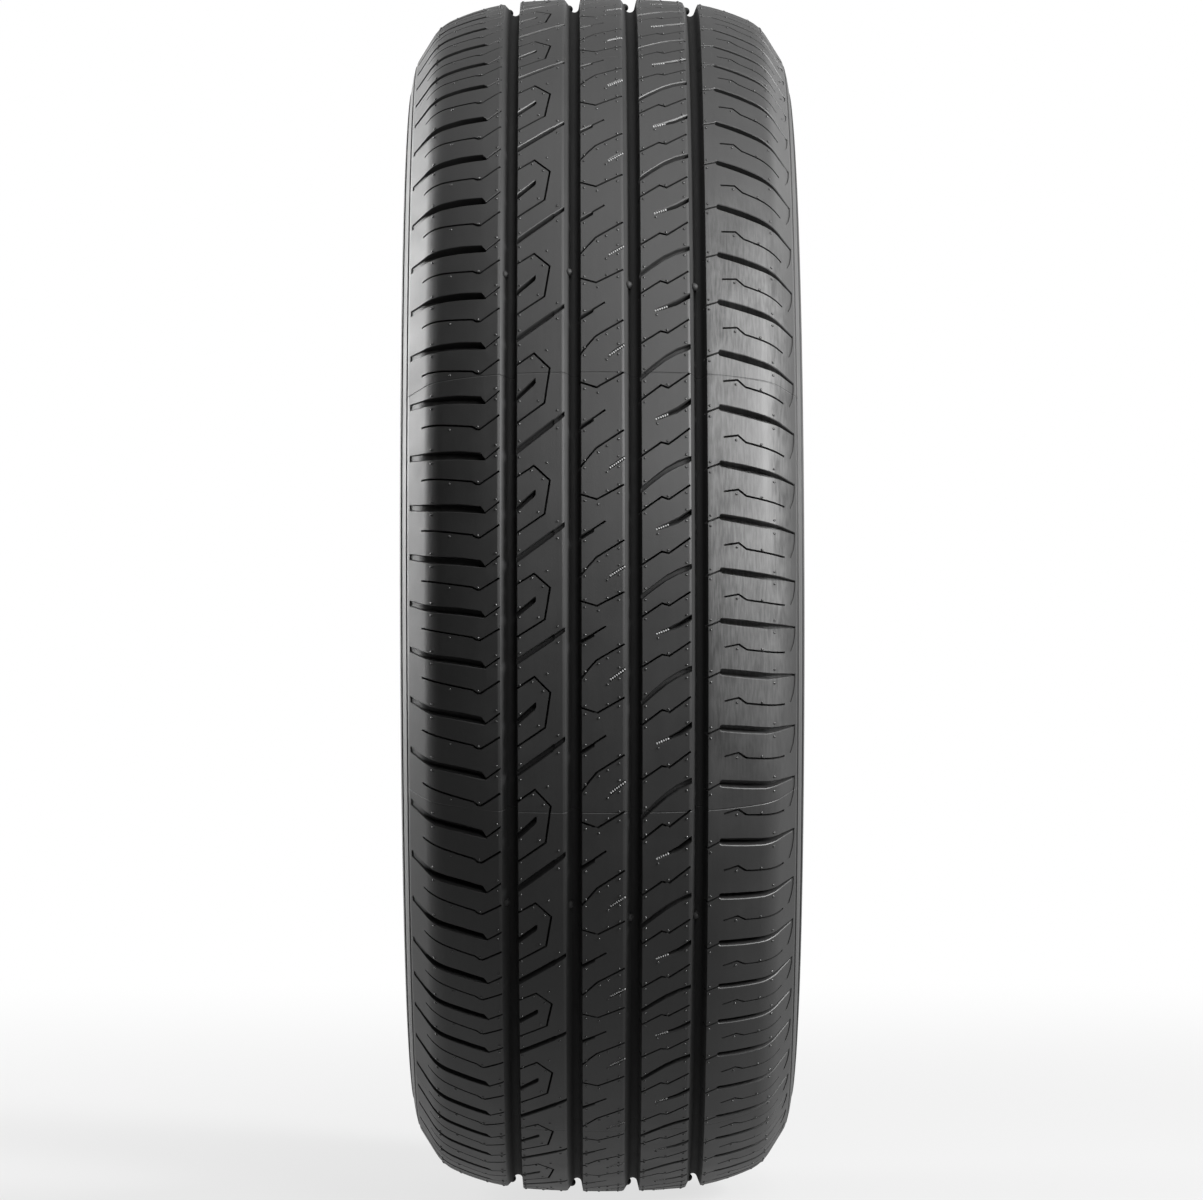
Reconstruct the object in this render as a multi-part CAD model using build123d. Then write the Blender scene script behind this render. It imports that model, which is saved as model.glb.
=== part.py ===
"""A car tyre, moulded in one piece of black rubber, size 225/65 R17.

The axle is the Y axis and the origin is the centre of the tyre. One section of the wall is
carried round the axle in flats, one to each block of the shoulders. The bead seats are then
bored round and the tread is cut pitch by pitch. Lengths are in millimetres, angles in degrees.
"""
from build123d import *
from math import cos, radians, sin
import os

# Envelope and rim
outer_diameter = 724.0
section_width = 230.0
rim_seat_diameter = 436.6
rim_width = 165.1

# Crown: how wide each stretch is, and how far it has dropped there from the top of the tread
shoulder_width = 178.0
shoulder_drop = 12.9
corner_width = 199.0
corner_drop = 22.0
tread_width = 218.0
tread_edge_drop = 36.0

# Four grooves round the tread, and how far the crown has dropped at each
inner_groove_offset = 17.0
inner_groove_drop = 0.3
outer_groove_offset = 53.6
outer_groove_drop = 2.6
groove_width = 10.8
groove_floor_width = 7.0
groove_depth = 8.0

# Side wall and bead, with heights above the bead seat
belt_top = 84.0
belt_bottom = 60.0
rim_guard_width = 206.0
rim_guard_height = 28.0
bead_face_height = 13.0
heel_chamfer = 4.5
bead_width = 17.0
toe_height = 3.0
bore_stock = 2.0

# Casing: thickness under the tread, at the tread's edge and at the belt, and the width of the level liner
crown_thickness = 16.0
edge_thickness = 11.0
sidewall_thickness = 7.0
liner_crown_width = 128.0

# Pitches of the tread from short to long, their order round the tyre, where the first starts,
# and the share of a pitch by which each flat of the ring starts above the slot it carries
pitch_ratio = {"A": 0.886, "B": 0.951, "C": 1.0, "D": 1.039, "E": 1.106}
pitch_order = "EECDBACECAD" + "BECADEBDCEABDCEDACBEDBCA"
first_pitch_angle = 56.0
flat_lead_share = 0.07

# Slots across the shoulders, two to a pitch, the right-hand ones a share of a pitch lower
shoulder_slot_start = 66.5
shoulder_slot_land = 0.6
shoulder_slot_width = 3.6
shoulder_slot_depth = 6.5
shoulder_slot_knee_depth = 4.5
shoulder_slot_end_depth = 2.0
shoulder_slot_lean = 8.5
right_slot_share = 0.065

# Grooves across the inner ribs, one to a pitch: where each middle lies in the pitch, and how far
# its ends climb or fall, as shares of the pitch
cross_groove_width = 3.0
cross_groove_depth = 6.5
left_cross_share = 0.806
left_cross_climb = 0.215
right_cross_share = 0.14
right_cross_inner_fall = 0.25
right_cross_outer_climb = 0.145

outer_radius = outer_diameter / 2
seat_radius = rim_seat_diameter / 2
half_section = section_width / 2
bead_face = rim_width / 2
belt_height = (belt_top + belt_bottom) / 2
rib_middle = (inner_groove_offset + outer_groove_offset) / 2

crown_line = [
    (0, outer_radius),
    (inner_groove_offset, outer_radius - inner_groove_drop),
    (outer_groove_offset, outer_radius - outer_groove_drop),
    (shoulder_width / 2, outer_radius - shoulder_drop),
    (corner_width / 2, outer_radius - corner_drop),
    (tread_width / 2, outer_radius - tread_edge_drop),
]
wall_line = [
    (half_section, seat_radius + belt_top),
    (half_section, seat_radius + belt_bottom),
    (rim_guard_width / 2, seat_radius + rim_guard_height),
    (bead_face, seat_radius + bead_face_height),
]
bead_line = [
    (bead_face, seat_radius - bore_stock),
    (bead_face - bead_width, seat_radius - bore_stock),
    (bead_face - bead_width, seat_radius + toe_height),
]
liner_line = [
    (half_section - sidewall_thickness, seat_radius + belt_height),
    (tread_width / 2 - edge_thickness, outer_radius - tread_edge_drop),
    (liner_crown_width / 2, outer_radius - crown_thickness),
]


def on_crown(offset):
    """Radius of the uncut tread at a distance from the middle of the tyre."""
    for (near, high), (far, low) in zip(crown_line, crown_line[1:]):
        if abs(offset) <= far:
            return high + (low - high) * (abs(offset) - near) / (far - near)


def half_outline():
    """Right half of the section from the first groove to the liner, as (offset, radius)."""
    outline = []
    for groove in (inner_groove_offset, outer_groove_offset):
        floor = on_crown(groove) - groove_depth
        outline += [
            (groove - groove_width / 2, on_crown(groove - groove_width / 2)),
            (groove - groove_floor_width / 2, floor),
            (groove + groove_floor_width / 2, floor),
            (groove + groove_width / 2, on_crown(groove + groove_width / 2)),
        ]
    return outline + crown_line[3:] + wall_line + bead_line + liner_line


def ring_of_flats(outline, angles):
    """A solid whose section is carried round the axle from one angle to the next in straight steps."""
    swell = 2 / (1 + cos(radians(180 / len(angles))))

    def corner(point, angle):
        offset, radius = point
        return (radius * swell * cos(radians(angle)), offset, radius * swell * sin(radians(angle)))

    flats = []
    for start, end in zip(angles, angles[1:] + [angles[0] - 360]):
        for near, far in zip(outline, outline[1:] + outline[:1]):
            corners = [corner(near, start), corner(far, start), corner(far, end), corner(near, end)]
            flats.append(Face(Wire.make_polygon(corners)))
    return Solid(Shell(flats))


def rim_bore():
    """Cutter for both bead seats, flared at the heels of the beads."""
    seat_end = bead_face - heel_chamfer
    flare_end = bead_face + bore_stock
    flare_radius = seat_radius + heel_chamfer + bore_stock
    half = [(seat_radius, seat_end), (flare_radius, flare_end), (0, flare_end)]
    mirrored = [(radius, -offset) for radius, offset in half]
    return revolve(Polygon(*half, *mirrored[::-1], align=None), Axis.Y)


def shoulder_slot(side):
    """Cutter for a slot across the shoulder on one side, at the front of the tyre."""
    far = tread_width / 2 - shoulder_slot_land
    knee = corner_width / 2
    profile = [
        (on_crown(shoulder_slot_start) - shoulder_slot_depth, side * shoulder_slot_start),
        (on_crown(knee) - shoulder_slot_knee_depth, side * knee),
        (on_crown(far) - shoulder_slot_end_depth, side * far),
        (outer_radius, side * far),
        (outer_radius, side * shoulder_slot_start),
    ]
    slab = extrude(Polygon(*profile, align=None), shoulder_slot_width / 2, both=True)
    pivot = Pos(0, side * shoulder_slot_start, 0)
    return pivot * Rot(-shoulder_slot_lean, 0, 0) * pivot.inverse() * slab


def cross_groove(path):
    """Cutter for a groove across a rib, along a path of (offset, height), at the front of the tyre."""
    floor_radius = on_crown(rib_middle) - cross_groove_depth
    floor = Plane(origin=(floor_radius, 0, 0), x_dir=(0, 1, 0), z_dir=(1, 0, 0))
    return extrude(floor * trace(Polyline(*path), cross_groove_width), 2 * cross_groove_depth)


def at_angle(angle, cutter):
    """A cutter turned from the front of the tyre to an angle above it."""
    return Rot(0, -angle, 0) * cutter


pitch_sum = sum(pitch_ratio[name] for name in pitch_order)
pitch_step = {name: 360 * ratio / pitch_sum for name, ratio in pitch_ratio.items()}
pitch_starts = []
for number, name in enumerate(pitch_order):
    pitch_starts.append(first_pitch_angle - sum(pitch_step[earlier] for earlier in pitch_order[:number]))
flat_starts = [
    start + (flat_lead_share - half) * pitch_step[name]
    for start, name in zip(pitch_starts, pitch_order)
    for half in (0, 0.5)
]

right = half_outline()
left = [(-offset, radius) for offset, radius in right]
tyre = ring_of_flats(right + left[::-1], flat_starts)

left_slot = shoulder_slot(-1)
right_slot = shoulder_slot(1)
cutters = [rim_bore()]
for start, name in zip(pitch_starts, pitch_order):
    step = pitch_step[name]
    rise = radians(step) * outer_radius
    left_path = [
        (-outer_groove_offset, -left_cross_climb * rise),
        (-inner_groove_offset, left_cross_climb * rise),
    ]
    right_path = [
        (inner_groove_offset, -right_cross_inner_fall * rise),
        (rib_middle, 0),
        (outer_groove_offset, right_cross_outer_climb * rise),
    ]
    cutters.append(at_angle(start - left_cross_share * step, cross_groove(left_path)))
    cutters.append(at_angle(start - right_cross_share * step, cross_groove(right_path)))
    for half in (0, 0.5):
        cutters.append(at_angle(start - half * step, left_slot))
        cutters.append(at_angle(start - (half + right_slot_share) * step, right_slot))
tyre = tyre.cut(*cutters)

os.makedirs("parts", exist_ok=True)
export_step(tyre, "parts/tyre.step")
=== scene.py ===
import math

import bmesh
import bpy
from mathutils import Matrix, Vector


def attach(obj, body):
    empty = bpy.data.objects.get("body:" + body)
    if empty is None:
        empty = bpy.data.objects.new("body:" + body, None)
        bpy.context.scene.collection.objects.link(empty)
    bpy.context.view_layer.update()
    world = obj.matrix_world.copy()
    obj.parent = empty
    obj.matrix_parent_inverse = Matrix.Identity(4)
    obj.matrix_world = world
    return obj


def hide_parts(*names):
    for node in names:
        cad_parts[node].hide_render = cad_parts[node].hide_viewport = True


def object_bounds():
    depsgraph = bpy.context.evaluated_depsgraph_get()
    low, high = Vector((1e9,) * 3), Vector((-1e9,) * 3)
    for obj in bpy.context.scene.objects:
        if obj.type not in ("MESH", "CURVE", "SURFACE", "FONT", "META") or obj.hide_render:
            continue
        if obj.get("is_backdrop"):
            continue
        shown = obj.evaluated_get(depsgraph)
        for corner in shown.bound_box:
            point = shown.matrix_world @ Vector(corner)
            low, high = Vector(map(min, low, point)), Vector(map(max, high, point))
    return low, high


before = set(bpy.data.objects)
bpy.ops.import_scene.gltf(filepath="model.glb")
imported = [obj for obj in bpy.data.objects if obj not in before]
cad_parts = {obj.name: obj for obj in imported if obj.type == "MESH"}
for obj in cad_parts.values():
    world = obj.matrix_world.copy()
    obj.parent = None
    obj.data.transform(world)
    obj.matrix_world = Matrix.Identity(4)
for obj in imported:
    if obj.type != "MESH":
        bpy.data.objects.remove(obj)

cad_low, cad_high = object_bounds()
mm = 0.001


# One repeat of the tread, laid out flat: a bar of rubber with the four main
# grooves run along it. X runs down the tread, Y across it to the right, Z out.
tread_half = 109.0 * mm
outer_radius = 361.3 * mm
repeats = 35
repeat_length = math.tau * outer_radius / repeats
groove_openings = ((-58.6, -47.7), (-22.4, -11.8), (11.3, 22.1), (48.5, 59.0))
groove_depth = 8.0 * mm
left_wall_draft = 4.8 * mm
left_wall_break = (3.6 * mm, -3.8 * mm)
right_wall_draft = 1.6 * mm
chamfer_width = 1.3 * mm
chamfer_drop = 0.4 * mm
groove_floor_round = 2.0 * mm
rib_edge_round = 0.35 * mm
bar_bottom = -12.0 * mm
bar_start_share = 0.27
near_enough = 1e-6

outline = [(-tread_half, bar_bottom), (-tread_half, 0.0)]
for left, right in groove_openings:
    outline += [
        (left * mm, 0.0),
        (left * mm + chamfer_width, -chamfer_drop),
        (left * mm + left_wall_break[0], left_wall_break[1]),
        (left * mm + left_wall_draft, -groove_depth),
        (right * mm - right_wall_draft, -groove_depth),
        (right * mm, 0.0),
    ]
outline += [(tread_half, 0.0), (tread_half, bar_bottom)]

bar = bmesh.new()
bar_start = bar_start_share * repeat_length
near_end = bar.faces.new([bar.verts.new((bar_start, across, out)) for across, out in outline])
run = bmesh.ops.extrude_face_region(bar, geom=[near_end])["geom"]
far_end = [v for v in run if isinstance(v, bmesh.types.BMVert)]
bmesh.ops.translate(bar, vec=(repeat_length, 0.0, 0.0), verts=far_end)
bmesh.ops.recalc_face_normals(bar, faces=bar.faces)


def long_edges(height):
    """The edges that run along the bar at one height, the bar's own sides left out."""
    return [
        e
        for e in bar.edges
        if all(abs(v.co.z - height) < near_enough for v in e.verts)
        and all(abs(v.co.y) < tread_half - near_enough for v in e.verts)
        and abs(e.verts[0].co.y - e.verts[1].co.y) < near_enough
    ]


for height, offset, segments in ((-groove_depth, groove_floor_round, 4), (0.0, rib_edge_round, 2)):
    bmesh.ops.bevel(
        bar, geom=long_edges(height), offset=offset, segments=segments,
        profile=0.5, affect="EDGES", material=-1,
    )


# The mould's fins, which leave the slots and cross grooves of one repeat.
# Each is a drafted bar of steel swept across the rib, with a flared lip.
cutter_stand = 2.0


def fin(cutter, stations, shift=0.0, lip=0.25, taper=0.8):
    """Sweeps a fin through stations of (across, share of the repeat, width, depth), in millimetres."""
    ring = None
    for across, share, width, depth in stations:
        half = width / 2
        section = (
            (-half - lip - cutter_stand, cutter_stand),
            (-half - lip, 0.0),
            (-half, -lip),
            (-half * taper, -depth),
            (half * taper, -depth),
            (half, -lip),
            (half + lip, 0.0),
            (half + lip + cutter_stand, cutter_stand),
        )
        corners = [
            cutter.verts.new(((share + shift) * repeat_length + along * mm, across * mm, out * mm))
            for along, out in section
        ]
        loop = [cutter.edges.new(pair) for pair in zip(corners, corners[1:] + corners[:1])]
        if ring is None:
            bmesh.ops.contextual_create(cutter, geom=loop)
        else:
            bmesh.ops.bridge_loops(cutter, edges=ring + loop)
        ring = loop
    bmesh.ops.contextual_create(cutter, geom=ring)


left_shoulder_groove = (
    (-65.2, 0.024, 0.6, 5.0),
    (-67.9, -0.008, 4.4, 6.5),
    (-80.0, -0.035, 4.8, 7.0),
    (-95.0, -0.055, 4.6, 6.0),
    (-98.0, -0.064, 4.3, 3.8),
    (-102.0, -0.079, 4.0, 0.9),
    (-108.4, -0.110, 3.6, 0.6),
)
left_shoulder_link = ((-57.4, -0.082, 1.3, 4.5), (-65.8, 0.021, 1.0, 4.5))
left_rib_groove = (
    (-49.2, 0.970, 3.9, 3.8),
    (-27.6, 0.717, 3.7, 3.8),
    (-26.9, 0.709, 2.8, 3.0),
    (-21.0, 0.638, 2.8, 3.0),
)
left_rib_slot = ((-49.2, 0.510, 3.6, 6.0), (-38.0, 0.351, 3.5, 6.0), (-37.1, 0.338, 2.0, 6.0))
centre_left_slot = ((-13.2, 0.772, 2.6, 6.0), (-4.6, 0.686, 2.0, 5.5))
centre_right_slot = ((12.6, 0.023, 2.4, 2.8), (3.9, 0.120, 2.0, 2.4))
right_rib_groove = (
    (20.6, 0.340, 2.9, 2.8),
    (28.0, 0.236, 3.0, 2.8),
    (35.5, 0.140, 3.1, 2.8),
    (42.0, 0.078, 3.2, 2.8),
    (50.0, 0.024, 3.2, 2.8),
)
right_rib_slot = (
    (50.0, 0.520, 3.0, 5.5),
    (42.5, 0.600, 2.6, 5.5),
    (36.0, 0.647, 1.7, 5.0),
    (30.0, 0.685, 0.6, 4.0),
)
right_shoulder_groove = (
    (65.6, -0.003, 2.4, 5.5),
    (66.8, -0.001, 3.6, 6.5),
    (80.0, 0.028, 4.1, 7.0),
    (92.0, 0.058, 3.7, 6.0),
    (101.0, 0.073, 2.3, 3.6),
    (108.4, 0.098, 1.0, 1.6),
)
right_shoulder_link = ((66.8, -0.008, 1.1, 4.5), (57.4, 0.057, 1.2, 4.5))
right_shoulder_lag = 0.065

fins = bmesh.new()
for half_repeat in (0.5, 1.0):
    fin(fins, left_shoulder_groove, half_repeat)
    fin(fins, right_shoulder_groove, half_repeat + right_shoulder_lag, lip=0.4)
for whole_repeat in (0.0, 1.0):
    for stations in (left_rib_groove, left_rib_slot, centre_left_slot, right_rib_groove):
        fin(fins, stations, whole_repeat, lip=0.45)
    fin(fins, right_rib_slot, whole_repeat, lip=0.7)
    fin(fins, centre_right_slot, whole_repeat, lip=0.3, taper=0.1)
bmesh.ops.recalc_face_normals(fins, faces=fins.faces)

links = bmesh.new()
for half_repeat in (0.5, 1.0):
    fin(links, left_shoulder_link, half_repeat, lip=0.15)
    fin(links, right_shoulder_link, half_repeat + right_shoulder_lag, lip=0.15)
bmesh.ops.recalc_face_normals(links, faces=links.faces)


# The thin steel blades, which leave the sipes: narrow cuts that zigzag over
# each rib and open its edges. One sheet each, bent to its line and stood on edge.
def blade(cutter, line, depth, shift=0.0):
    """Stands a sheet on a line of (across, share of the repeat), in millimetres."""
    top = [
        cutter.verts.new(((share + shift) * repeat_length, across * mm, cutter_stand * mm))
        for across, share in line
    ]
    edges = [cutter.edges.new(pair) for pair in zip(top, top[1:])]
    made = bmesh.ops.extrude_edge_only(cutter, edges=edges)["geom"]
    low = [v for v in made if isinstance(v, bmesh.types.BMVert)]
    bmesh.ops.translate(cutter, vec=(0.0, 0.0, -(cutter_stand + depth) * mm), verts=low)


left_shoulder_sipe = ((-101.7, 0.158), (-73.0, 0.230), (-70.6, 0.257), (-68.4, 0.260), (-57.2, 0.140))
right_shoulder_sipe = ((68.2, 0.333), (76.0, 0.309), (80.4, 0.364), (90.0, 0.390), (102.3, 0.425))
right_shoulder_scallop = ((107.3, 0.150), (107.2, 0.240), (106.4, 0.330), (104.8, 0.410))
rib_sipes = (
    ((-49.0, 0.219), (-38.2, 0.104), (-29.9, 0.233), (-32.8, 0.535), (-49.0, 0.714)),
    ((-5.0, 0.690), (2.2, 0.615)),
    ((-13.0, 0.367), (-3.0, 0.418), (12.6, 0.279)),
    ((-13.0, 1.142), (-7.5, 1.030), (-3.0, 0.946), (3.0, 0.885), (12.6, 0.789)),
    ((20.8, 0.542), (33.3, 0.395), (37.3, 0.418), (49.6, 0.279)),
    ((20.8, 1.032), (33.2, 0.897), (37.3, 0.912), (49.6, 0.768)),
)

shoulder_sipe_depth = 5.0
scallop_depth = 0.4
rib_sipe_depth = 6.0
blade_thickness = 1.2 * mm

blades = bmesh.new()
for half_repeat in (0.0, 0.5, 1.0):
    blade(blades, left_shoulder_sipe, shoulder_sipe_depth, half_repeat)
    blade(blades, right_shoulder_sipe, shoulder_sipe_depth, half_repeat)
    blade(blades, right_shoulder_scallop, scallop_depth, half_repeat)
for line in rib_sipes:
    for whole_repeat in (0.0, 1.0):
        blade(blades, line, rib_sipe_depth, whole_repeat)
bmesh.ops.solidify(blades, geom=list(blades.faces), thickness=blade_thickness)
bmesh.ops.recalc_face_normals(blades, faces=blades.faces)


def flat_object(name, bm):
    """Turns a flat working shape into an object."""
    mesh = bpy.data.meshes.new(name)
    bm.to_mesh(mesh)
    bm.free()
    made = bpy.data.objects.new(name, mesh)
    bpy.context.scene.collection.objects.link(made)
    return made


flat_repeat = flat_object("flat_repeat", bar)
cutters = [flat_object("fins", fins), flat_object("links", links), flat_object("blades", blades)]
for cutter in cutters:
    cut = flat_repeat.modifiers.new(cutter.name, "BOOLEAN")
    cut.operation = "DIFFERENCE"
    cut.solver = "EXACT"
    cut.use_self = True
    cut.object = cutter

repeat = bmesh.new()
repeat.from_object(flat_repeat, bpy.context.evaluated_depsgraph_get())
for spare in (flat_repeat, *cutters):
    bpy.data.objects.remove(spare)

# Only the skin of the tread is kept, so the ends, sides and bottom of the bar go.
not_skin = [
    f
    for f in repeat.faces
    if f.calc_center_median().z < bar_bottom + near_enough
    or all(abs(v.co.x - bar_start) < near_enough for v in f.verts)
    or all(abs(v.co.x - bar_start - repeat_length) < near_enough for v in f.verts)
    or all(abs(abs(v.co.y) - tread_half) < near_enough for v in f.verts)
]
bmesh.ops.delete(repeat, geom=not_skin, context="FACES")

# The skin is scored along and across, so that it can bend round the crown.
crown_lines = (35.0, 66.0, 71.0, 76.0, 81.0, 85.0, 89.0, 91.0, 93.0, 95.0, 97.0, 98.7, 100.3, 104.5)
steps_per_repeat = 6
scores = []
for line in (0.0, *crown_lines, *(-x for x in crown_lines)):
    scores.append(((0.0, line * mm, 0.0), (0.0, 1.0, 0.0)))
for step in range(1, steps_per_repeat):
    share = bar_start_share + step / steps_per_repeat
    scores.append(((share * repeat_length, 0.0, 0.0), (1.0, 0.0, 0.0)))
for point, normal in scores:
    bmesh.ops.bisect_plane(
        repeat, geom=list(repeat.verts) + list(repeat.edges) + list(repeat.faces),
        plane_co=point, plane_no=normal, dist=near_enough,
    )
repeat_mesh = bpy.data.meshes.new("repeat")
repeat.to_mesh(repeat_mesh)
repeat.free()


# The tyre: thirty-five repeats laid round the crown, in five lengths shuffled
# to keep the tread quiet, then walls, beads and liner drawn from the tread's edges.
pitch_lengths = {"A": 0.886, "B": 0.951, "C": 1.0, "D": 1.039, "E": 1.106}
pitch_order = "EECDBACECAD" "BECADEBDCEABDCEDACBEDBCA"
first_angle = math.radians(56.0)
pitch_unit = math.tau / sum(pitch_lengths[kind] for kind in pitch_order)
crown_arcs = ((45.0 * mm, 600.0 * mm), (89.0 * mm, 130.0 * mm), (100.3 * mm, 26.0 * mm))
weld_distance = 0.02 * mm
crease_angle = math.radians(32.0)


def crown(across):
    """Radius and slope of the tread's outer surface at a distance from its middle."""
    reach = abs(across)
    start, rise, drop = 0.0, 0.0, 0.0
    for end, radius in crown_arcs:
        at = min(reach, end)
        lean = rise + (at - start) / radius
        drop += radius * (math.sqrt(1.0 - rise**2) - math.sqrt(1.0 - lean**2))
        start, rise = at, lean
    slope = math.asin(rise)
    drop += (reach - start) * math.tan(slope)
    return outer_radius - drop, math.copysign(slope, across)


def angle_at(place):
    """The angle up from the front at a place counted in repeats down the tread."""
    whole, part = divmod(place, 1.0)
    passed = sum(pitch_lengths[kind] for kind in pitch_order[: int(whole)])
    return first_angle - (passed + part * pitch_lengths[pitch_order[int(whole) % repeats]]) * pitch_unit


def wrap_round(flat_mesh):
    """Lays a flat repeat round the whole crown."""
    ring = bmesh.new()
    for number in range(repeats):
        known = len(ring.verts)
        ring.from_mesh(flat_mesh)
        ring.verts.ensure_lookup_table()
        for v in ring.verts[known:]:
            radius, slope = crown(v.co.y)
            radius += v.co.z * math.cos(slope)
            turn = angle_at(number + v.co.x / repeat_length)
            v.co = (
                radius * math.cos(turn),
                v.co.y + v.co.z * math.sin(slope),
                radius * math.sin(turn),
            )
    return ring


def bowed(start, end, bow, steps):
    """Points from one section point to the next, bowed to the left of the way by a height."""
    a, b = Vector(start), Vector(end)
    way = b - a
    side = Vector((-way.y, way.x)).normalized()
    shares = [k / steps for k in range(1, steps + 1)]
    return [a + way * share + side * bow * 4 * share * (1 - share) for share in shares]


edge_radius = crown(tread_half)[0] / mm
shoulder_ring = [
    Vector((109.6, edge_radius - 1.2)),
    Vector((109.8, edge_radius - 2.2)),
    Vector((108.9, edge_radius - 2.9)),
    Vector((108.9, edge_radius - 3.4)),
    Vector((110.6, edge_radius - 3.7)),
]
wall_ring = [Vector((112.1, 306.1)), Vector((112.1, 305.6)), Vector((113.8, 305.3))]
rim_line = [Vector((90.6, 235.0)), Vector((89.6, 234.2)), Vector((88.4, 234.6))]
wall_ring_top = (113.0, 306.8)
widest = (114.9, 288.0)
guard_edge = (104.4, 249.0)
guard_foot = (101.6, 245.4)
rim_line_top = (90.6, 236.0)
bead_face_top = (82.5, 231.6)
bead_face_foot = (82.5, 223.2)
heel = (78.0, 218.35)
toe = (66.8, 218.35)
toe_top = (65.6, 220.0)
liner_guard = (95.0, 254.0)
liner_wall = (106.6, 290.0)
liner_shoulder = (97.0, 327.0)
liner_crown_edge = (72.0, 341.8)
liner_middle = (0.0, 346.4)
half_section = (
    shoulder_ring
    + bowed(shoulder_ring[-1], wall_ring_top, 0.4, 3)
    + wall_ring
    + bowed(wall_ring[-1], widest, 0.2, 3)
    + bowed(widest, guard_edge, 2.4, 9)
    + bowed(guard_edge, guard_foot, 0.8, 3)
    + bowed(guard_foot, rim_line_top, -1.3, 3)
    + rim_line
    + bowed(rim_line[-1], bead_face_top, -0.3, 2)
    + bowed(bead_face_top, bead_face_foot, 0.0, 1)
    + bowed(bead_face_foot, heel, 1.3, 4)
    + bowed(heel, toe, 0.0, 1)
    + bowed(toe, toe_top, 0.4, 2)
    + bowed(toe_top, liner_guard, 0.6, 4)
    + bowed(liner_guard, liner_wall, -3.0, 4)
    + bowed(liner_wall, liner_shoulder, -4.6, 5)
    + bowed(liner_shoulder, liner_crown_edge, -3.2, 4)
    + bowed(liner_crown_edge, liner_middle, -0.9, 4)
)
section = half_section + [Vector((-p.x, p.y)) for p in reversed(half_section[:-1])]
section.append(Vector((-tread_half / mm, edge_radius)))

tyre_mesh = wrap_round(repeat_mesh)
bmesh.ops.remove_doubles(tyre_mesh, verts=tyre_mesh.verts, dist=weld_distance)
open_edge = [
    e
    for e in tyre_mesh.edges
    if e.is_boundary and all(v.co.y > tread_half - weld_distance for v in e.verts)
]
for point in section:
    drawn = bmesh.ops.extrude_edge_only(tyre_mesh, edges=open_edge)["geom"]
    open_edge = [e for e in drawn if isinstance(e, bmesh.types.BMEdge)]
    for v in (v for v in drawn if isinstance(v, bmesh.types.BMVert)):
        turn = math.atan2(v.co.z, v.co.x)
        v.co = (point.y * mm * math.cos(turn), point.x * mm, point.y * mm * math.sin(turn))
bmesh.ops.remove_doubles(tyre_mesh, verts=tyre_mesh.verts, dist=weld_distance)
bmesh.ops.recalc_face_normals(tyre_mesh, faces=tyre_mesh.faces)

tyre_data = bpy.data.meshes.new("tyre_rubber")
tyre_mesh.to_mesh(tyre_data)
tyre_mesh.free()
tyre_data.shade_smooth()
tyre_data.set_sharp_from_angle(angle=crease_angle)
tyre = bpy.data.objects.new("tyre_rubber", tyre_data)
bpy.context.scene.collection.objects.link(tyre)
tyre.modifiers.new("even_faces", "WEIGHTED_NORMAL").keep_sharp = True
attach(tyre, "root")
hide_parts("tyre")


# Rubber: black with carbon, matt and finely grained by the mould, rougher down in the
# grooves and painted darker there as painted shade, with fine lines where the mould's nine
# sectors met and a pale bloom on the right shoulder, painted paler where that shoulder
# faces the key light as a painted highlight.
class Wire:
    """A value that runs through a material, on which sums can be written."""

    def __init__(self, tree, socket=None):
        self.tree, self.socket = tree, socket

    def node(self, kind, settings, inputs, output=0):
        """Adds a node and gives the wire from one of its outputs."""
        made = self.tree.nodes.new(kind)
        for name, value in settings.items():
            setattr(made, name, value)
        for name, value in inputs.items():
            if isinstance(value, Wire):
                self.tree.links.new(value.socket, made.inputs[name])
            else:
                made.inputs[name].default_value = value
        return Wire(self.tree, made.outputs[output])

    def math(self, operation, first, second=0.0):
        return self.node("ShaderNodeMath", {"operation": operation}, {0: first, 1: second})

    def ramp(self, low, high):
        """Rises smoothly from 0 at low to 1 at high."""
        limits = {"Value": self, "From Min": low, "From Max": high}
        return self.node("ShaderNodeMapRange", {"interpolation_type": "SMOOTHSTEP"}, limits)

    def into(self, shader, name):
        self.tree.links.new(self.socket, shader.inputs[name])

    def __add__(self, other):
        return self.math("ADD", self, other)

    def __sub__(self, other):
        return self.math("SUBTRACT", self, other)

    def __rsub__(self, other):
        return self.math("SUBTRACT", other, self)

    def __mul__(self, other):
        return self.math("MULTIPLY", self, other)

    def __truediv__(self, other):
        return self.math("DIVIDE", self, other)

    def __pow__(self, other):
        return self.math("POWER", self, other)

    def __abs__(self):
        return self.math("ABSOLUTE", self)

    def __round__(self):
        return self.math("ROUND", self)

    __radd__, __rmul__ = __add__, __mul__


def new_material(name):
    """A new material, its shader and a wire to start from."""
    made = bpy.data.materials.new(name)
    made.use_nodes = True
    return made, made.node_tree.nodes["Principled BSDF"], Wire(made.node_tree)


seam_spacing = math.radians(40.0)
first_seam = math.radians(20.2)
crown_fall = 0.85

rubber, rubber_shader, start = new_material("rubber")
place = start.node("ShaderNodeTexCoord", {}, {}, "Object")
fore, across, up = (start.node("ShaderNodeSeparateXYZ", {}, {"Vector": place}, axis) for axis in "XYZ")
turn = start.math("ARCTAN2", up, fore)
radius = (fore * fore + up * up) ** 0.5

grain = place.node("ShaderNodeTexNoise", {}, {"Vector": place, "Scale": 1100.0, "Detail": 2.0})
mottle = place.node("ShaderNodeTexNoise", {}, {"Vector": place, "Scale": 42.0, "Detail": 5.0})
flow = start.node("ShaderNodeCombineXYZ", {}, {"X": turn * 9.0, "Y": across * 330.0, "Z": radius * 60.0})
streak = place.node("ShaderNodeTexNoise", {}, {"Vector": flow, "Scale": 1.0, "Detail": 3.0})

# Painted highlight over a real pale bloom: the right shoulder is painted paler in streaky patches, only
# over the turns where it faces the key light.
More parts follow.
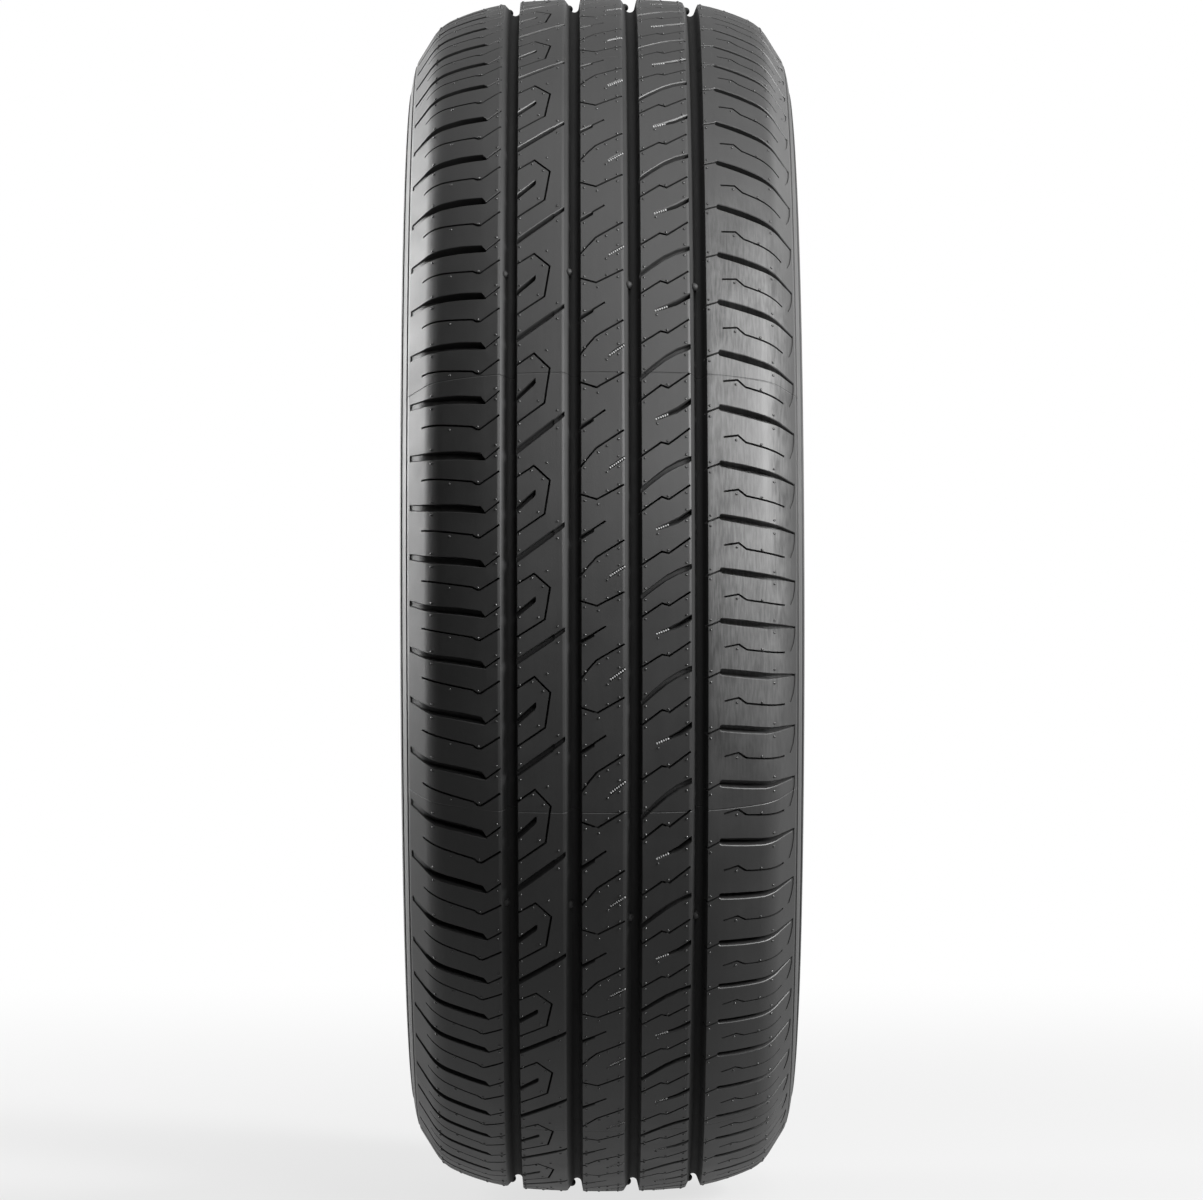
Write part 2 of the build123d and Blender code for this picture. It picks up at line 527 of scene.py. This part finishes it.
past_groove = across.ramp(58.0 * mm, 62.0 * mm)
before_wall = (1.0 - across.ramp(98.0 * mm, 110.0 * mm)) * radius.ramp(310.0 * mm, 330.0 * mm)
key_lit_turns = turn.ramp(-0.45, 0.15) * (1.0 - turn.ramp(0.40, 0.80))
stretched_round = start.node("ShaderNodeCombineXYZ", {}, {"X": turn * 40.0, "Y": across * 900.0, "Z": radius * 60.0})
shoulder_streaks = place.node("ShaderNodeTexNoise", {}, {"Vector": stretched_round, "Scale": 1.0, "Detail": 4.0})
patchy_bloom_and_highlight = mottle.ramp(0.3, 0.7) * 0.5 + shoulder_streaks.ramp(0.3, 0.7) * 0.6
bloom_and_painted_highlight = past_groove * before_wall * key_lit_turns * patchy_bloom_and_highlight

sectors = turn / seam_spacing - first_seam / seam_spacing
off_seam = abs(sectors - round(sectors)) * seam_spacing * radius
seam = (1.0 - off_seam.ramp(0.05 * mm, 0.5 * mm)) * radius.ramp(318.0 * mm, 322.0 * mm)

# Painted shade: the rubber's colour is darkened with depth down in the main grooves, where shade falls, and
# its roughness is raised there.
depth = outer_radius - across * across * crown_fall - radius
in_grooves = (1.0 - abs(across).ramp(59.0 * mm, 60.5 * mm)) * radius.ramp(345.0 * mm, 347.0 * mm)
groove_shade_and_matt = depth.ramp(0.0, 4.8 * mm) * in_grooves
# The base colour: mottled, streaked grain with the right shoulder's bloom and painted highlight.
rubber_tone_and_painted_light = 0.009 + mottle * 0.008 + streak * 0.004 + bloom_and_painted_highlight * 0.072
(rubber_tone_and_painted_light * (1.0 - groove_shade_and_matt * 0.8)).into(rubber_shader, "Base Color")
(0.42 + mottle * 0.16 + bloom_and_painted_highlight * 0.10 + groove_shade_and_matt * 0.35).into(rubber_shader, "Roughness")
height = grain * (0.06 * mm) + streak * (0.05 * mm) - seam * (0.5 * mm)
relief = start.node("ShaderNodeBump", {}, {"Strength": 0.6, "Distance": 1.0, "Height": height})
relief.into(rubber_shader, "Normal")
tyre_data.materials.append(rubber)


# Vent pips: the trimmed stubs of rubber left where the mould let its air out, a
# little proud of every block beside the ends and bends of its cuts.
pip_height = 0.5 * mm
pip_radius = 0.85 * mm
shoulder_pips = (
    (-95.9, -0.119), (-95.9, 0.007), (-85.6, 0.228), (-69.7, 0.226), (-59.6, -0.105), (-59.6, -0.008),
    (60.5, 0.052), (60.5, 0.149), (75.2, 0.342), (89.4, 0.358), (96.5, 0.068), (96.5, 0.194),
)
rib_pips = (
    (-46.3, 0.42), (-46.3, 0.52), (-46.3, 0.165), (-46.3, 0.722), (-46.3, 0.87), (-46.3, 0.012),
    (-39.4, 0.137), (-33.2, 0.218), (-30.9, 0.065), (-35.8, 0.522), (-25.0, 0.608), (-25.0, 0.764),
    (-9.8, 0.690), (-9.8, 0.790), (-9.8, 0.345), (-9.8, 0.420), (-9.8, 0.045), (-9.8, 0.118), (-2.3, 0.455),
    (-2.3, 0.975), (2.7, 0.330), (2.7, 0.920), (2.7, 0.158), (9.2, 0.272), (9.2, 0.350), (9.2, 0.786),
    (9.2, 0.860), (9.2, 0.012), (9.2, 0.108),
    (24.0, 0.240), (24.0, 0.352), (24.0, 0.470), (24.0, 0.538), (24.0, 0.958), (24.0, 0.026), (31.0, 0.724),
    (36.7, 0.378), (36.7, 0.874), (47.0, 0.990), (47.0, 0.105), (47.0, 0.500), (47.0, 0.606), (47.0, 0.345),
    (47.0, 0.835),
)


def wrapped_object(name, flat):
    """Smooths a flat working shape and lays it round the whole crown, as one object."""
    for f in flat.faces:
        f.smooth = True
    flat_mesh = bpy.data.meshes.new(name + "_flat")
    flat.to_mesh(flat_mesh)
    flat.free()
    return flat_object(name, wrap_round(flat_mesh))


pips = bmesh.new()
for place_across, share in (*rib_pips, *shoulder_pips, *((a, u + 0.5) for a, u in shoulder_pips)):
    bmesh.ops.create_icosphere(
        pips, subdivisions=1, radius=1.0,
        matrix=Matrix.Translation((share * repeat_length, place_across * mm, 0.0))
        @ Matrix.Diagonal((pip_radius, pip_radius, pip_height, 1.0)),
    )
vent_pips = wrapped_object("vent_pips", pips)
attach(vent_pips, "root")

trimmed, trimmed_shader, start = new_material("trimmed_rubber")
spot = start.node("ShaderNodeTexCoord", {}, {}, "Object")
cut_face = start.node("ShaderNodeTexNoise", {}, {"Vector": spot, "Scale": 700.0})
(0.015 + cut_face * 0.03).into(trimmed_shader, "Base Color")
(0.12 + cut_face * 0.20).into(trimmed_shader, "Roughness")
vent_pips.data.materials.append(trimmed)


# Pale beads of rubber in a row along each of two slots, as a painted highlight: they
# stand in for the bright lines of light that these slots catch.
highlight_bead_radius = 0.75 * mm
highlight_bead_sink = 0.45 * mm
highlight_bead_lines = (((12.2, 0.028), (4.4, 0.114), 8), ((36.5, 0.644), (30.2, 0.684), 6))
highlight_beads = bmesh.new()
for (from_across, from_share), (to_across, to_share), count in highlight_bead_lines:
    for number in range(count):
        along = number / (count - 1)
        share = from_share + (to_share - from_share) * along
        place_across = from_across + (to_across - from_across) * along
        bmesh.ops.create_icosphere(
            highlight_beads, subdivisions=1, radius=highlight_bead_radius,
            matrix=Matrix.Translation((share * repeat_length, place_across * mm, -highlight_bead_sink)),
        )
slot_highlight_beads = wrapped_object("slot_highlight_beads", highlight_beads)
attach(slot_highlight_beads, "root")

# Painted highlight: the beads are pale so that they read as light caught in the slots.
highlight_paint, highlight_paint_shader, start = new_material("highlight_bead_rubber")
spot = start.node("ShaderNodeTexCoord", {}, {}, "Object")
bead_noise = start.node("ShaderNodeTexNoise", {}, {"Vector": spot, "Scale": 500.0})
(0.10 + bead_noise * 0.25).into(highlight_paint_shader, "Base Color")
(0.25 + bead_noise * 0.30).into(highlight_paint_shader, "Roughness")
slot_highlight_beads.data.materials.append(highlight_paint)


# Wear bars: small rounded knobs of rubber on the left wall of each main groove, at
# six places round the tyre, moulded in to show when the tread is worn down.
knob_radius = 2.4 * mm
knob_inset = 3.7 * mm
knob_sink = 4.4 * mm
knob_turns = (30.7, 30.7, 29.3, 29.3)
bar_places = 6
bars = bmesh.new()
for (left, _), first_turn in zip(groove_openings, knob_turns):
    middle = left * mm + knob_inset
    for number in range(bar_places):
        bmesh.ops.create_icosphere(
            bars, subdivisions=3, radius=knob_radius,
            matrix=Matrix.Rotation(-math.radians(first_turn + 360.0 / bar_places * number), 4, "Y")
            @ Matrix.Translation((crown(middle)[0] - knob_sink, middle, 0.0)),
        )
for f in bars.faces:
    f.smooth = True
wear_bars = flat_object("wear_bars", bars)
wear_bars.data.materials.append(rubber)
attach(wear_bars, "root")


# Floor and backdrop: white paper that runs back out of sight. To the lens it is
# white but for the tyre's shadow. It throws little light back on the tyre, and
# shines in the rubber chiefly from under and behind it.
floor_reach = 14.0
floor_gap = 0.5 * mm
floor_mesh = bmesh.new()
bmesh.ops.create_grid(floor_mesh, x_segments=1, y_segments=1, size=floor_reach)
bmesh.ops.translate(floor_mesh, vec=(0.0, 0.0, cad_low[2] - floor_gap), verts=floor_mesh.verts)
floor = flat_object("floor", floor_mesh)
floor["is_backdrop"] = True

paper, paper_shader, start = new_material("white_paper")
paper_shader.inputs["Roughness"].default_value = 0.9
spot = start.node("ShaderNodeTexCoord", {}, {}, "Object")
distance = start.node("ShaderNodeVectorMath", {"operation": "LENGTH"}, {0: spot}, "Value")
seen = start.node("ShaderNodeLightPath", {}, {}, "Is Camera Ray")
glow = start.node("ShaderNodeEmission", {}, {"Color": (1.0, 1.0, 1.0, 1.0), "Strength": 1.0})
(0.11 + seen * 0.19).into(paper_shader, "Base Color")
lit = Wire(paper.node_tree, paper_shader.outputs[0])
shine = start.node("ShaderNodeLightPath", {}, {}, "Is Glossy Ray")
ahead = start.node("ShaderNodeSeparateXYZ", {}, {"Vector": spot}, "X")
behind = 1.0 - ahead.ramp(0.12, 0.45)
white = (seen + shine * (0.03 + behind * 0.70)) * (0.72 + distance.ramp(0.4, 2.5) * 0.28)
sheet = start.node("ShaderNodeMixShader", {}, {0: white, 1: lit, 2: glow})
sheet.into(paper.node_tree.nodes["Material Output"], "Surface")
floor.data.materials.append(paper)

world = bpy.data.worlds.new("studio")
bpy.context.scene.world = world
world.use_nodes = True
start = Wire(world.node_tree)
way = start.node("ShaderNodeTexCoord", {}, {}, "Generated")
back = start.node("ShaderNodeSeparateXYZ", {}, {"Vector": way}, "X").ramp(0.20, -0.20)
rise = start.node("ShaderNodeSeparateXYZ", {}, {"Vector": way}, "Z").ramp(-0.08, 0.06)
seen = start.node("ShaderNodeLightPath", {}, {}, "Is Camera Ray")
shine = start.node("ShaderNodeLightPath", {}, {}, "Is Glossy Ray")
backdrop = world.node_tree.nodes["Background"]
backdrop.inputs["Color"].default_value = (1.0, 1.0, 1.0, 1.0)
(seen + (1.0 - seen) * (0.007 + back * rise * (0.056 + shine * 0.50))).into(backdrop, "Strength")


# Lights: the key panel stands on the right, with weaker ones in front and overhead,
# and three panels stand behind to draw the edges of the side walls.
def softbox(name, stand, width, height, power):
    """A soft light panel that faces the tyre."""
    panel = bpy.data.lights.new(name, "AREA")
    panel.shape = "RECTANGLE"
    panel.size, panel.size_y, panel.energy = width, height, power
    lamp = bpy.data.objects.new(name, panel)
    lamp.location = stand
    lamp.rotation_euler = (-Vector(stand)).to_track_quat("-Z", "Y").to_euler()
    bpy.context.scene.collection.objects.link(lamp)


softbox("key_panel", (1.2, 2.2, 1.05), 0.9, 1.2, 165.0)
softbox("front_panel", (2.6, 0.7, 1.1), 0.7, 0.7, 28.0)
softbox("upper_panel", (1.5, 0.5, 2.2), 0.9, 0.9, 17.0)
softbox("top_panel", (0.3, 0.0, 2.5), 1.6, 1.6, 14.0)
softbox("top_right_panel", (0.2, 1.4, 2.2), 1.0, 1.0, 8.0)
softbox("left_rim_panel", (-1.2, -1.9, 0.5), 1.0, 1.3, 52.0)
softbox("left_back_panel", (-1.9, -1.5, 0.6), 1.0, 1.3, 12.0)
softbox("right_rim_panel", (-1.6, 1.5, 0.6), 1.0, 1.3, 9.0)

# Camera: a long lens straight in front of the tread, level with the axle.
lens = bpy.data.cameras.new("camera")
lens.sensor_width = 36.0
lens.lens = 213.8
lens.clip_end = 100.0
camera = bpy.data.objects.new("camera", lens)
camera.location = (4.344, -0.0094, -0.003)
camera.rotation_euler = (math.radians(90.0), math.radians(0.14), math.radians(89.873))
bpy.context.scene.collection.objects.link(camera)
bpy.context.scene.camera = camera
bpy.context.scene.view_settings.view_transform = "Standard"

low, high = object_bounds()
{"cad": [list(cad_low), list(cad_high)], "final": [list(low), list(high)]}
